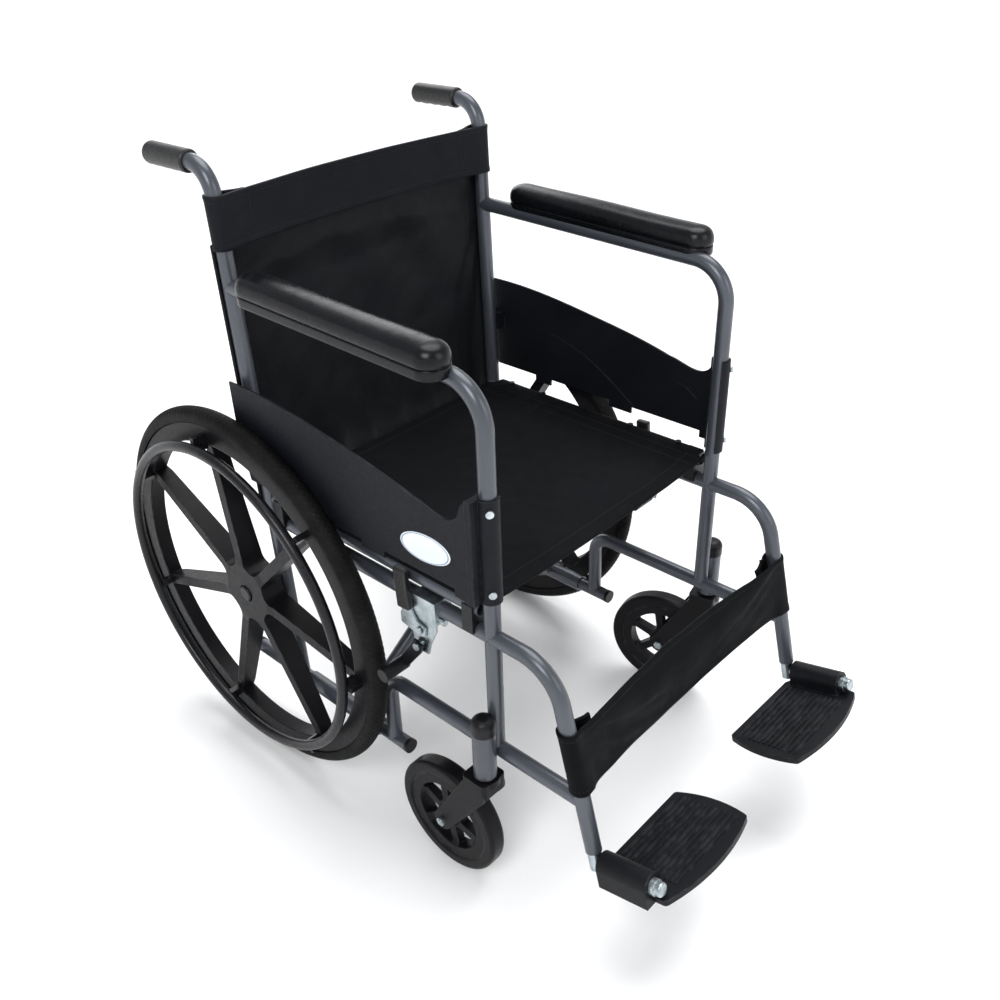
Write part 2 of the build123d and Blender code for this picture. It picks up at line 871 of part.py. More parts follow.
def footplate_tube(side):
    """The telescoping tube in the hanger leg, the hinge pin welded to it, its collar and plug."""
    x = side * frame_x
    leg = Vector(0, hanger_slope, 1).normalized()
    pin_base = Vector(x, *at(-pin_start, pin_z))
    top = pin_base + leg * 150
    bottom = pin_base - leg * 12
    hinge = hinge_plane(side)
    inner = bore - 0.16
    with BuildPart() as piece:
        add(rod(tuple(bottom), tuple(top), inner))
        with BuildSketch(hinge):
            Circle(foot_pin_d / 2)
        extrude(amount=barrel_end + 14)
        with BuildSketch(hinge.offset(barrel_end + 0.3)):
            Circle(11)
        extrude(amount=7)
        with BuildSketch(hinge.offset(barrel_end + 7.3)):
            Circle(9.5)
        extrude(amount=9)
        fillet(piece.faces().sort_by(Axis.Y)[0].edges(), 3)
        add(rod(tuple(bottom + leg * 30), tuple(top), inner - 4), mode=Mode.SUBTRACT)
    return piece.part


def footplate(side):
    """The ribbed footplate and its hinge barrel, cast in one piece."""
    hinge = hinge_plane(side)
    up = hinge_up(side)
    top = -plate_drop + plate_thick
    rib_pitch = 8
    rib_high = 2
    deck = Plane(
        origin=hinge.origin + hinge.y_dir * up * (-plate_drop),
        x_dir=hinge.x_dir,
        z_dir=hinge.y_dir * up,
    )
    forward = 1 if deck.y_dir.dot(hinge.z_dir) > 0 else -1
    with BuildPart() as piece:
        with BuildSketch(deck):
            with BuildLine():
                outer = Line((-4, 16 * forward), (-4, (plate_length - 8) * forward))
                front = ThreePointArc(
                    outer @ 1,
                    (plate_reach / 2, (plate_length + 9) * forward),
                    (plate_reach - 6, (plate_length - 4) * forward),
                )
                inner = ThreePointArc(
                    front @ 1,
                    (plate_reach + 1, plate_length / 2 * forward),
                    (plate_reach - 12, 2 * forward),
                )
                Line(inner @ 1, (16, 4 * forward))
                Line((16, 4 * forward), outer @ 0)
            make_face()
        extrude(amount=plate_thick)
        fillet(piece.edges().filter_by(Axis(deck.origin, deck.z_dir)), 6)
        for index in range(12):
            along = (14 + index * rib_pitch) * forward
            with BuildSketch(deck.offset(plate_thick)):
                with Locations((plate_reach / 2 + 6, along)):
                    Rectangle(plate_reach - 42, 3)
            extrude(amount=rib_high)
        with BuildSketch(hinge.offset(barrel_start)):
            Circle(barrel_d / 2)
            with Locations((0, -up * (plate_drop + 5) / 2)):
                Rectangle(barrel_d, plate_drop + 5)
        extrude(amount=barrel_end - barrel_start)
        with BuildSketch(hinge.offset(barrel_start)):
            Circle(foot_pin_d / 2 + running)
        extrude(amount=barrel_end - barrel_start, mode=Mode.SUBTRACT)
        with BuildSketch(hinge.offset(barrel_end)):
            Circle(12.5)
        extrude(amount=30, mode=Mode.SUBTRACT)
        with BuildSketch(hinge.offset(-20)):
            Circle(12.5)
        extrude(amount=20 + barrel_start, mode=Mode.SUBTRACT)
    return piece.part


def brace(side, tube_y):
    """One half of the folding X: a sleeve on the low tube, a cross tube and a seat rail.

    The sleeve is on the given side and the seat rail is on the other.
    """
    foot = Vector(side * frame_x, *at(tube_y, low_z))
    head = Vector(-side * frame_x, *at(tube_y, seat_z))
    middle = (foot + head) * 0.5
    sleeve_a = (side * frame_x, *at(sleeve_start_y, low_z))
    sleeve_b = (side * frame_x, *at(sleeve_end_y, low_z))
    seat_a = (-side * frame_x, *at(seat_start_y, seat_z))
    seat_b = (-side * frame_x, *at(seat_end_y, seat_z))
    with BuildPart() as piece:
        add(rod(sleeve_a, sleeve_b, sleeve_d))
        add(rod(tuple(foot), tuple(head), tube))
        add(rod(seat_a, seat_b, tube))
        add(rod(tuple(foot), tuple(head), bore), mode=Mode.SUBTRACT)
        add(rod(seat_a, seat_b, bore), mode=Mode.SUBTRACT)
        add(rod(sleeve_a, sleeve_b, tube + 2 * running), mode=Mode.SUBTRACT)
        with BuildSketch(Plane.XZ.offset(-(post_y + tube_y - 20))):
            with Locations((middle.X, middle.Z)):
                Circle(bolt_d / 2 + running)
        extrude(amount=-40, mode=Mode.SUBTRACT)
        for y in seat_screw_ys:
            start = (-side * frame_x, *at(y, seat_z))
            add(rod(start, (-side * frame_x, *at(y, seat_z + 20)), 4), mode=Mode.SUBTRACT)
    return piece.part


def brace_bolt():
    """The centre bolt of the X with its head, washers and nut."""
    middle_z = (low_z + seat_z) / 2
    first = brace_tube_y - tube / 2
    last = brace_tube_y + brace_gap_y + tube / 2
    with BuildPart() as piece:
        add(rod((0, *at(first - 7, middle_z)), (0, *at(last + 8, middle_z)), bolt_d))
        add(rod((0, *at(first - 6, middle_z)), (0, *at(first - 0.2, middle_z)), washer_d))
        add(rod((0, *at(last + 0.2, middle_z)), (0, *at(last + 7, middle_z)), washer_d))
        spacer = (first + tube + 0.3, last - tube - 0.3)
        add(rod((0, *at(spacer[0], middle_z)), (0, *at(spacer[1], middle_z)), washer_d))
    return piece.part


def seat_screws(side):
    """The screws that hold the seat down on one seat rail."""
    with BuildPart() as piece:
        for y in seat_screw_ys:
            low = (side * frame_x, *at(y, seat_z + tube / 2 - 5))
            neck = (side * frame_x, *at(y, seat_z + tube / 2 + cloth + 0.4))
            high = (side * frame_x, *at(y, seat_z + tube / 2 + cloth + 2.6))
            add(rod(low, high, 3.9))
            add(rod(neck, high, 9))
    return piece.part


def seat_sling():
    """The seat cloth, laid over both seat rails."""
    low = seat_z + tube / 2 + 0.3
    middle_start = 5
    middle_end = 446
    with BuildPart() as piece:
        with BuildSketch(Plane.XY.offset(low)):
            with Locations((0, post_y + (18 + seat_end_y) / 2)):
                Rectangle(2 * (frame_x + 8), seat_end_y - 18)
            with Locations((0, post_y + (middle_start + 100) / 2)):
                Rectangle(2 * (frame_x - 14), 100 - middle_start)
            with Locations((0, post_y + (400 + middle_end) / 2)):
                Rectangle(2 * (frame_x - 14), middle_end - 400)
            with Locations([(s * frame_x, post_y + y) for s in (-1, 1) for y in seat_screw_ys]):
                Circle(2.2, mode=Mode.SUBTRACT)
        extrude(amount=cloth)
    return piece.part


def back_sling():
    """The back cloth: a sheet that sags behind the posts, with a band that wraps their tops."""
    half = frame_x + 6
    front_y = post_y + post_back(back_low) + tube / 2 + cloth_gap
    rise = Vector(0, tan(lean), 1)
    with BuildPart() as piece:
        with BuildSketch(Plane.XY.offset(back_low)):
            with BuildLine():
                ends = []
                for rear in (0, cloth):
                    y = front_y + rear
                    bend_x = frame_x - 8
                    left = Line((-half, y), (-bend_x, y))
                    middle = ThreePointArc(left @ 1, (0, y + back_sag), (bend_x, y))
                    Line(middle @ 1, (half, y))
                    ends.append(y)
                for x in (-half, half):
                    Line((x, ends[0]), (x, ends[1]))
            make_face()
        extrude(amount=(back_high - back_low) * rise.length, dir=rise.normalized())
        for side in (-1, 1):
            start = (side * frame_x, *at(post_back(back_band_low), back_band_low))
            end = (side * frame_x, *at(post_back(back_high), back_high))
            add(rod(start, end, tube + 2 * (cloth + cloth_gap)))
            add(rod(start, end, tube + 2 * cloth_gap), mode=Mode.SUBTRACT)
    return piece.part


def calf_strap():
    """The calf strap: a band behind the hanger legs with a loop round each leg."""
    low = calf_low
    high = calf_high
    behind = tube / 2 + cloth_gap
    with BuildPart() as piece:
        band = plate(
            [
                at(hanger_back(low) + behind, low),
                at(hanger_back(high) + behind, high),
                at(hanger_back(high) + behind + cloth, high),
                at(hanger_back(low) + behind + cloth, low),
            ],
            Plane.YZ.offset(-frame_x),
            2 * frame_x,
        )
        add(band)
        for side in (-1, 1):
            start = (side * frame_x, *at(hanger_back(low), low))
            end = (side * frame_x, *at(hanger_back(high), high))
            add(rod(start, end, tube + 2 * (cloth + cloth_gap)))
        for side in (-1, 1):
            start = (side * frame_x, *at(hanger_back(low - 20), low - 20))
            end = (side * frame_x, *at(hanger_back(high + 20), high + 20))
            add(rod(start, end, tube + 2 * cloth_gap), mode=Mode.SUBTRACT)
    return piece.part


def save(part, name):
    part.label = name
    export_step(part, f"parts/{name}.step")


os.makedirs("parts", exist_ok=True)

sided = {
    "back_post": back_post,
    "arm_tube": arm_tube,
    "side_rail": side_rail,
    "lower_frame": lower_frame,
    "handgrip": handgrip,
    "arm_pad": arm_pad,
    "side_panel": side_panel,
    "panel_screws": panel_screws,
    "end_caps": end_caps,
    "seat_saddles": seat_saddles,
    "rear_axle": rear_axle,
    "wheel": wheel,
    "wheel_bearings": wheel_bearings,
    "tyre": tyre,
    "handrim": handrim,
    "brake_bracket": brake_bracket,
    "brake_lever": brake_lever,
    "brake_grip": brake_grip,
    "brake_arm": brake_arm,
    "caster_fork": caster_fork,
    "caster_axle": caster_axle,
    "caster_wheel": caster_wheel,
    "caster_tyre": caster_tyre,
    "caster_bearings": caster_bearings,
    "footplate_tube": footplate_tube,
    "footplate": footplate,
}
for name, make in sided.items():
    for side, hand in ((-1, "right"), (1, "left")):
        save(make(side), f"{name}_{hand}")

save(brace(-1, brace_tube_y), "brace_a")
save(brace(1, brace_tube_y + brace_gap_y), "brace_b")
save(brace_bolt(), "brace_bolt")
save(seat_screws(1), "seat_screws_a")
save(seat_screws(-1), "seat_screws_b")
save(seat_sling(), "seat_sling")
save(back_sling(), "back_sling")
save(calf_strap(), "calf_strap")
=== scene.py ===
import json
import math

import bpy
import numpy as np
from mathutils import Matrix, Vector

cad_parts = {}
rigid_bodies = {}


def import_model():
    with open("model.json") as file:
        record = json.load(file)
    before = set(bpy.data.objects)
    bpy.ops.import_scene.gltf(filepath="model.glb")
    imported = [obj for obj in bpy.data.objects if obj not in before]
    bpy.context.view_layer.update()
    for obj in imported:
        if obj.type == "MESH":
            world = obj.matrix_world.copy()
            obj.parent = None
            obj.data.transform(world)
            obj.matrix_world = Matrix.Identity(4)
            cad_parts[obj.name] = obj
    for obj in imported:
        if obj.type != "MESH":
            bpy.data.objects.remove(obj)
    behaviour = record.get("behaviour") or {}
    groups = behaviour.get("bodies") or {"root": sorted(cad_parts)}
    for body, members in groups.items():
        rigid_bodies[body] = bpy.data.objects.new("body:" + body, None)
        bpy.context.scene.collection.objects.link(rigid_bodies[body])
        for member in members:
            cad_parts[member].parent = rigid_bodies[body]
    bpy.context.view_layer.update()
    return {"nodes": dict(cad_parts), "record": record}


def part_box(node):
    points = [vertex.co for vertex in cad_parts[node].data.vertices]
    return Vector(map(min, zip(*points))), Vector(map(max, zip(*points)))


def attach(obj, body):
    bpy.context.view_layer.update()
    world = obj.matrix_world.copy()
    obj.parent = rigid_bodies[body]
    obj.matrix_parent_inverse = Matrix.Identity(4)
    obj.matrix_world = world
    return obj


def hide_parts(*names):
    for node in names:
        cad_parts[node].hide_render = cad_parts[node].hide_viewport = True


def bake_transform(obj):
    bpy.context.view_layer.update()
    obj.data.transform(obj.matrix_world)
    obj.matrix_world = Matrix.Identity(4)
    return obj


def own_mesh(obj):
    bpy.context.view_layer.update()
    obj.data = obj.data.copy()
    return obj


for leftover in list(bpy.data.objects):
    bpy.data.objects.remove(leftover)

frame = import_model()

# ---------------------------------------------------------------- the part's own measures, in metres
POST_R = 0.011  # radius of every frame tube
CLOTH = 0.0022  # thickness of every cloth
SMOOTH_GAP = 0.0006  # clearance between a cloth and the tube it wraps
post_low, post_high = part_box("back_post_right")
seat_low, seat_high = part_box("seat_sling")
back_low, back_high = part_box("back_sling")
calf_low, calf_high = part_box("calf_strap")
housing_low, housing_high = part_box("caster_bearings_right")
FRAME_X = -(post_low.x + post_high.x) / 2
FRONT_Y = (housing_low.y + housing_high.y) / 2
BACK_LEAN = math.tan(math.radians(1.82))
BACK_FOOT_Y, BACK_FOOT_Z = FRONT_Y + 0.433, 0.129
LEG_SLOPE = 0.25
LEG_TOP_Y, LEG_TOP_Z = FRONT_Y - 0.09775, 0.431
ARM_Z = 0.767  # the arm tube's axis above the front post
ARM_SLOPE = (0.7805 - ARM_Z) / 0.4535
PANEL_OUTER, PANEL_INNER = 0.2671, 0.264  # the side panel's faces, from the chair's middle


def post_y(z):
    """The back post's axis at a height."""
    return BACK_FOOT_Y + (z - BACK_FOOT_Z) * BACK_LEAN


def leg_y(z):
    """The hanger leg's axis at a height."""
    return LEG_TOP_Y - (LEG_TOP_Z - z) * LEG_SLOPE


# ---------------------------------------------------------------- materials
def linear(red, green, blue):
    """A screen colour, 0 to 255, as Blender's linear colour."""
    out = []
    for c in (red, green, blue):
        c /= 255
        out.append(c / 12.92 if c <= 0.04045 else ((c + 0.055) / 1.055) ** 2.4)
    return (*out, 1.0)


class Finish:
    """A Principled material, built up from small steps."""

    def __init__(self, name):
        self.material = bpy.data.materials.new(name)
        self.material.use_nodes = True
        self.tree = self.material.node_tree
        self.shader = self.tree.nodes["Principled BSDF"]
        self.coords = self.tree.nodes.new("ShaderNodeTexCoord")
        self.place = self.coords.outputs["Object"]
        self.normal = None

    def node(self, kind, inputs=(), **settings):
        made = self.tree.nodes.new(kind)
        for key, value in settings.items():
            setattr(made, key, value)
        for key, value in dict(inputs).items():
            if isinstance(value, bpy.types.NodeSocket):
                self.tree.links.new(value, made.inputs[key])
            else:
                made.inputs[key].default_value = value
        return made

    def noise(self, scale, detail=3.0, place=None, roughness=0.5):
        inputs = {
            "Vector": place or self.place,
            "Scale": scale,
            "Detail": detail,
            "Roughness": roughness,
        }
        return self.node("ShaderNodeTexNoise", inputs).outputs["Fac"]

    def spread(self, value, low, high, start=0.3, end=0.7):
        inputs = {"Value": value, "From Min": start, "From Max": end, "To Min": low, "To Max": high}
        return self.node("ShaderNodeMapRange", inputs).outputs["Result"]

    def math(self, operation, a, b=0.0):
        return self.node("ShaderNodeMath", {0: a, 1: b}, operation=operation).outputs[0]

    def mix(self, share, a, b):
        made = self.node("ShaderNodeMix", {0: share, 6: a, 7: b}, data_type="RGBA")
        return made.outputs[2]

    def bump(self, height, distance, strength=1.0):
        inputs = {"Height": height, "Distance": distance, "Strength": strength}
        if self.normal is not None:
            inputs["Normal"] = self.normal
        self.normal = self.node("ShaderNodeBump", inputs).outputs["Normal"]

    def round_edges(self, radius):
        self.normal = self.node("ShaderNodeBevel", {"Radius": radius}, samples=4).outputs["Normal"]
        return self.normal

    def edges(self, radius):
        """1 on a worn edge and 0 on a flat face."""
        bevel = self.node("ShaderNodeBevel", {"Radius": radius}, samples=4).outputs["Normal"]
        true = self.node("ShaderNodeNewGeometry").outputs["Normal"]
        dot = self.node("ShaderNodeVectorMath", {0: bevel, 1: true}, operation="DOT_PRODUCT")
        return self.spread(dot.outputs["Value"], 1.0, 0.0, 0.86, 0.995)

    def set(self, socket, value):
        if isinstance(value, bpy.types.NodeSocket):
            self.tree.links.new(value, self.shader.inputs[socket])
        else:
            self.shader.inputs[socket].default_value = value

    def done(self):
        if self.normal is not None:
            self.set("Normal", self.normal)
        return self.material


def moulded(
    name, dark, light, rough, grain=900.0, depth=0.00006, metallic=0.0, coat=0.0, edge=0.0008, worn=None, specular=0.5
):
    """A hard finish: two tones in broad patches, a fine grain, rounded edges and a little wear on them."""
    f = Finish(name)
    patches = f.spread(f.noise(9.0, 4.0), 0.0, 1.0)
    fine = f.noise(160.0, 3.0)
    colour = f.mix(patches, dark, light)
    if worn is not None:
        rubbed = f.math("MULTIPLY", f.edges(edge * 1.6), f.spread(f.noise(70.0, 5.0), 0.0, 0.75, 0.45, 0.62))
        colour = f.mix(rubbed, colour, worn)
    f.set("Base Color", colour)
    f.set("Roughness", f.spread(fine, rough - 0.05, rough + 0.07))
    f.set("Metallic", metallic)
    f.set("Coat Weight", coat)
    f.set("Coat Roughness", 0.18)
    f.set("Specular IOR Level", specular)
    f.round_edges(edge)
    f.bump(f.noise(grain, 2.0), depth)
    return f.done()


def woven(name, dark, light, rough=0.72, thread=0.0011, depth=0.00012, sheen=0.12, crease=0.0, gloss=0.14):
    """A plain coated weave, laid along the cloth's own cut."""
    f = Finish(name)
    cut = f.coords.outputs["UV"]
    spacing = 0.31416 / thread
    across = f.node(
        "ShaderNodeTexWave",
        {"Vector": cut, "Scale": spacing, "Distortion": 0.4, "Detail": 1.0, "Detail Scale": 0.3},
        bands_direction="X",
    ).outputs["Fac"]
    along = f.node(
        "ShaderNodeTexWave",
        {"Vector": cut, "Scale": spacing, "Distortion": 0.4, "Detail": 1.0, "Detail Scale": 0.3},
        bands_direction="Y",
    ).outputs["Fac"]
    weave = f.math("MULTIPLY", across, along)
    broad = f.spread(f.noise(7.0, 4.0), 0.0, 1.0)
    tone = f.math("ADD", f.math("MULTIPLY", broad, 0.7), f.math("MULTIPLY", weave, 0.3))
    f.set("Base Color", f.mix(tone, dark, light))
    f.set("Roughness", f.spread(f.noise(45.0, 3.0), rough - 0.06, rough + 0.06))
    f.set("Sheen Weight", sheen)
    f.set("Sheen Roughness", 0.4)
    f.set("Specular IOR Level", gloss)
    f.bump(f.noise(38.0, 4.0), 0.0006 + crease * 0.5)
    f.bump(f.noise(13.0, 3.0), crease * 2.5)
    f.bump(weave, depth)
    return f.done()


def zinc_plate():
    """Bright zinc: spangled patches, fine scratches and a slightly uneven shine."""
    f = Finish("bright_zinc")
    spangle = f.node("ShaderNodeTexVoronoi", {"Vector": f.place, "Scale": 210.0}).outputs["Distance"]
    smear = f.noise(55.0, 5.0)
    tone = f.mix(f.spread(smear, 0.0, 1.0), linear(128, 140, 146), linear(196, 205, 208))
    f.set("Base Color", f.mix(f.spread(spangle, 0.0, 0.35, 0.2, 0.8), tone, linear(150, 158, 160)))
    f.set("Metallic", 1.0)
    f.set("Roughness", f.spread(smear, 0.24, 0.42))
    f.round_edges(0.0006)
    f.bump(f.noise(420.0, 2.0), 0.00005)
    return f.done()


def vinyl():
    """Glossy black vinyl with a fine pebble grain."""
    f = Finish("pad_vinyl_grain")
    pebble = f.node(
        "ShaderNodeTexVoronoi", {"Vector": f.place, "Scale": 900.0}, feature="SMOOTH_F1"
    ).outputs["Distance"]
    broad = f.spread(f.noise(14.0, 4.0), 0.0, 1.0)
    f.set("Base Color", f.mix(broad, linear(7, 8, 10), linear(13, 14, 18)))
    f.set("Roughness", f.spread(f.noise(60.0, 4.0), 0.19, 0.31))
    f.set("Specular IOR Level", 0.22)
    f.bump(f.noise(28.0, 3.0), 0.0003)
    f.bump(pebble, 0.00009)
    return f.done()


def grip_finish():
    """Glossy moulded grip with fine lengthways ribs."""
    f = Finish("grip_ribbed")
    ribs = f.node(
        "ShaderNodeTexWave",
        {"Vector": f.place, "Scale": 118.0, "Distortion": 0.0},
        bands_direction="Y",
    ).outputs["Fac"]
    f.set("Base Color", f.mix(f.spread(f.noise(30.0), 0.0, 1.0), linear(9, 9, 10), linear(17, 17, 19)))
    f.set("Roughness", f.spread(f.noise(120.0), 0.28, 0.4))
    f.set("Specular IOR Level", 0.4)
    f.round_edges(0.0012)
    f.bump(ribs, 0.0004)
    return f.done()


def rubber(name, tone, rough):
    """Black rubber with a dusty bloom and a fine mould grain."""
    f = Finish(name)
    bloom = f.spread(f.noise(26.0, 5.0), 0.0, 1.0, 0.4, 0.75)
    f.set("Base Color", f.mix(bloom, linear(tone - 5, tone - 5, tone - 4), linear(tone + 5, tone + 5, tone + 5)))
    f.set("Roughness", f.spread(f.noise(90.0, 3.0), rough - 0.06, rough + 0.08))
    f.set("Specular IOR Level", 0.1)
    f.round_edges(0.0007)
    f.bump(f.noise(800.0, 2.0), 0.00007)
    return f.done()


worn_grey = linear(70, 72, 76)
paint = moulded(
    "frame_paint_grey", linear(60, 64, 71), linear(71, 75, 83), 0.34, 1500.0, 0.00005, 0.4, 0.3, 0.0009,
    linear(104, 108, 114),
)
FINISHES = {
    "frame_paint": paint,
    "brace_paint": paint,
    "grip_rubber": grip_finish(),
    "pad_vinyl": vinyl(),
    "panel_plastic": moulded(
        "panel_moulded", linear(15, 16, 20), linear(22, 23, 29), 0.48, 700.0, 0.00012, 0, 0, 0.0009, worn_grey, 0.12
    ),
    "wheel_plastic": moulded(
        "wheel_moulded", linear(12, 12, 14), linear(19, 19, 22), 0.4, 500.0, 0.0001, 0, 0, 0.0016, worn_grey, 0.12
    ),
    "rim_plastic": moulded(
        "push_ring_moulded", linear(11, 11, 14), linear(18, 18, 22), 0.3, 600.0, 0.00005, 0, 0.06, 0.0012, None, 0.25
    ),
    "cap_plastic": moulded(
        "cap_moulded", linear(10, 11, 13), linear(17, 18, 21), 0.36, 600.0, 0.00008, 0, 0, 0.0008, None, 0.22
    ),
    "tyre_rubber": rubber("tyre_rubber_black", 16, 0.6),
    "zinc": zinc_plate(),
    "steel": moulded(
        "plain_steel", linear(120, 124, 128), linear(172, 176, 178), 0.32, 500.0, 0.00004, 1.0, 0, 0.0006
    ),
    "fork_plastic": moulded(
        "fork_moulded", linear(10, 10, 12), linear(17, 17, 20), 0.36, 600.0, 0.00009, 0, 0, 0.0014, worn_grey, 0.12
    ),
    "foot_plastic": moulded(
        "foot_moulded", linear(12, 13, 16), linear(20, 21, 25), 0.42, 500.0, 0.00012, 0, 0, 0.0012, worn_grey, 0.14
    ),
    "seat_fabric": woven("seat_cloth", linear(10, 11, 13), linear(18, 19, 22), 0.74, 0.0011, 0.00012, 0.015, 0.0, 0.06),
    "screw_black": moulded("screw_blacked", linear(24, 25, 27), linear(36, 37, 40), 0.34, 500.0, 0.00004, 0.6),
}
back_cloth = woven("back_cloth", linear(12, 13, 16), linear(21, 22, 26), 0.54, 0.0012, 0.0001, 0.025, 0.0012, 0.13)
band_cloth = woven("band_cloth", linear(12, 14, 18), linear(20, 22, 28), 0.56, 0.0012, 0.0001, 0.02, 0.0006, 0.1)
calf_cloth = woven("calf_cloth", linear(8, 9, 11), linear(14, 15, 17), 0.56, 0.0014, 0.00012, 0.02, 0.0, 0.05)
thread = moulded("thread_dark", linear(26, 27, 31), linear(38, 39, 44), 0.7, 900.0, 0.0001, 0, 0, 0.0008, None, 0.2)

for entry in frame["record"]["subparts"]:
    node = frame["nodes"][entry["node"]]
    finish = FINISHES[entry["material_slot"]]
    if entry["node"].startswith("caster_tyre"):
        finish = FINISHES["fork_plastic"]
    if entry["node"].startswith("rear_axle"):
        finish = FINISHES["cap_plastic"]
    node.data.materials.clear()
    node.data.materials.append(finish)


# ---------------------------------------------------------------- mesh tools
def mesh_object(name, points, faces, uv=None, smooth=True):
    """A new mesh object from points and faces, with a place in the cut for each point."""
    mesh = bpy.data.meshes.new(name)
    mesh.from_pydata([tuple(p) for p in points], [], [tuple(int(i) for i in f) for f in faces])
    if uv is not None:
        layer = mesh.uv_layers.new(name="cut")
        corner = np.zeros(len(mesh.loops), int)
        mesh.loops.foreach_get("vertex_index", corner)
        layer.data.foreach_set("uv", np.asarray(uv, np.float32)[corner].ravel())
    mesh.polygons.foreach_set("use_smooth", [smooth] * len(mesh.polygons))
    mesh.update()
    made = bpy.data.objects.new(name, mesh)
    bpy.context.scene.collection.objects.link(made)
    return made


def grid_faces(rows, columns, closed=False, start=0):
    """Quads over a grid of points; closed joins its last column to its first."""
    found = []
    for r in range(rows - 1):
        for c in range(columns if closed else columns - 1):
            n = (c + 1) % columns
            a, b = start + r * columns + c, start + r * columns + n
            found.append((a, b, b + columns, a + columns))
    return found


def normals(grid):
    """Unit normals at each point of a grid."""
    down = np.gradient(grid, axis=0)
    over = np.gradient(grid, axis=1)
    n = np.cross(over, down)
    return n / np.maximum(np.linalg.norm(n, axis=2, keepdims=True), 1e-9)


def cut_lengths(grid):
    """Each point's place in the flat cut, in metres, from the middle row and column."""
    rows, columns = grid.shape[:2]
    over = np.linalg.norm(np.diff(grid[rows // 2], axis=0), axis=1)
    down = np.linalg.norm(np.diff(grid[:, columns // 2], axis=0), axis=1)
    u = np.concatenate([[0], np.cumsum(over)])
    v = np.concatenate([[0], np.cumsum(down)])
    return np.stack(np.meshgrid(u, v), axis=2), (float(u[-1]), float(v[-1]))


HEM = 0.0007  # how much a folded hem adds to each face
STITCH_PITCH, STITCH_LENGTH, STITCH_WIDTH, STITCH_TALL = 0.0052, 0.0036, 0.0005, 0.00045
STITCH_TAPER = 0.0008
STITCH_SINK = 0.0002


def cloth_piece(name, grid, finish, seams=(), hems=()):
    """A sheet of cloth with a thickness, thicker hems, and rows of stitches along its seams.

    seams are (kind, place) pairs: "row" runs across the cloth at a row, "column" runs down it.
    hems are (kind, first, last) bands that are folded double.
    """
    rows, columns = grid.shape[:2]
    n = normals(grid)
    place, flat = cut_lengths(grid)
    extra = np.zeros((rows, columns))
    for kind, first, last in hems:
        if kind == "row":
            extra[first:last, :] = HEM
        else:
            extra[:, first:last] = HEM
    half = (CLOTH / 2 + extra)[:, :, None]
    points = np.concatenate([(grid + n * half).reshape(-1, 3), (grid - n * half).reshape(-1, 3)])
    count = rows * columns
    faces = grid_faces(rows, columns)
    faces += [tuple(reversed([i + count for i in f])) for f in faces]
    ring = (
        [(0, c) for c in range(columns)]
        + [(r, columns - 1) for r in range(1, rows)]
        + [(rows - 1, c) for c in range(columns - 2, -1, -1)]
        + [(r, 0) for r in range(rows - 2, 0, -1)]
    )
    index = [r * columns + c for r, c in ring]
    for k, a in enumerate(index):
        b = index[(k + 1) % len(index)]
        faces.append((b, a, a + count, b + count))
    uv = np.concatenate([place.reshape(-1, 2)] * 2)
    cloth_faces = len(faces)
    stitches, stitch_faces = stitch_rows(grid, n, half, seams, len(points))
    if len(stitches):
        points = np.concatenate([points, stitches])
        uv = np.concatenate([uv, np.zeros((len(stitches), 2))])
        faces += stitch_faces
    made = mesh_object(name, points, faces, uv)
    made.data.materials.append(finish)
    made.data.materials.append(thread)
    slots = np.zeros(len(faces), np.int32)
    slots[cloth_faces:] = 1
    made.data.polygons.foreach_set("material_index", slots)
    return made, flat


def stitch_rows(grid, n, half, seams, start):
    """Short raised stitches on both faces of a cloth, along rows or columns of its grid."""
    points, faces = [], []
    for kind, at in seams:
        line = grid[at] if kind == "row" else grid[:, at]
        out = n[at] if kind == "row" else n[:, at]
        lift = half[at] if kind == "row" else half[:, at]
        run = np.concatenate([[0], np.cumsum(np.linalg.norm(np.diff(line, axis=0), axis=1))])
        for middle in np.arange(STITCH_PITCH, run[-1] - STITCH_PITCH, STITCH_PITCH):
            ends = []
            for offset in (-STITCH_LENGTH / 2, STITCH_LENGTH / 2):
                place = [np.interp(middle + offset, run, line[:, k]) for k in range(3)]
                ends.append(np.array(place))
            face = np.array([np.interp(middle, run, out[:, k]) for k in range(3)])
            face /= max(np.linalg.norm(face), 1e-9)
            rise = float(np.interp(middle, run, lift[:, 0]))
            along = ends[1] - ends[0]
            along /= max(np.linalg.norm(along), 1e-9)
            aside = np.cross(along, face)
            for sign in (1, -1):
                base = start + len(points)
                sections = (
                    (ends[0], 0.2),
                    (ends[0] + along * STITCH_TAPER, 1.0),
                    (ends[1] - along * STITCH_TAPER, 1.0),
                    (ends[1], 0.2),
                )
                for end, shrink in sections:
                    for w, h in ((-1, 0), (-0.6, 1), (0.6, 1), (1, 0)):
                        lifted = rise - STITCH_SINK + (STITCH_TALL + STITCH_SINK) * h * shrink
                        points.append(end + aside * STITCH_WIDTH * w * shrink + face * sign * lifted)
                for r in range(3):
                    for c in range(4):
                        a, b = base + r * 4 + c, base + r * 4 + (c + 1) % 4
                        faces.append((a, b, b + 4, a + 4))
                faces.append((base, base + 1, base + 2, base + 3))
                faces.append((base + 12, base + 13, base + 14, base + 15))
    return np.array(points).reshape(-1, 3), faces


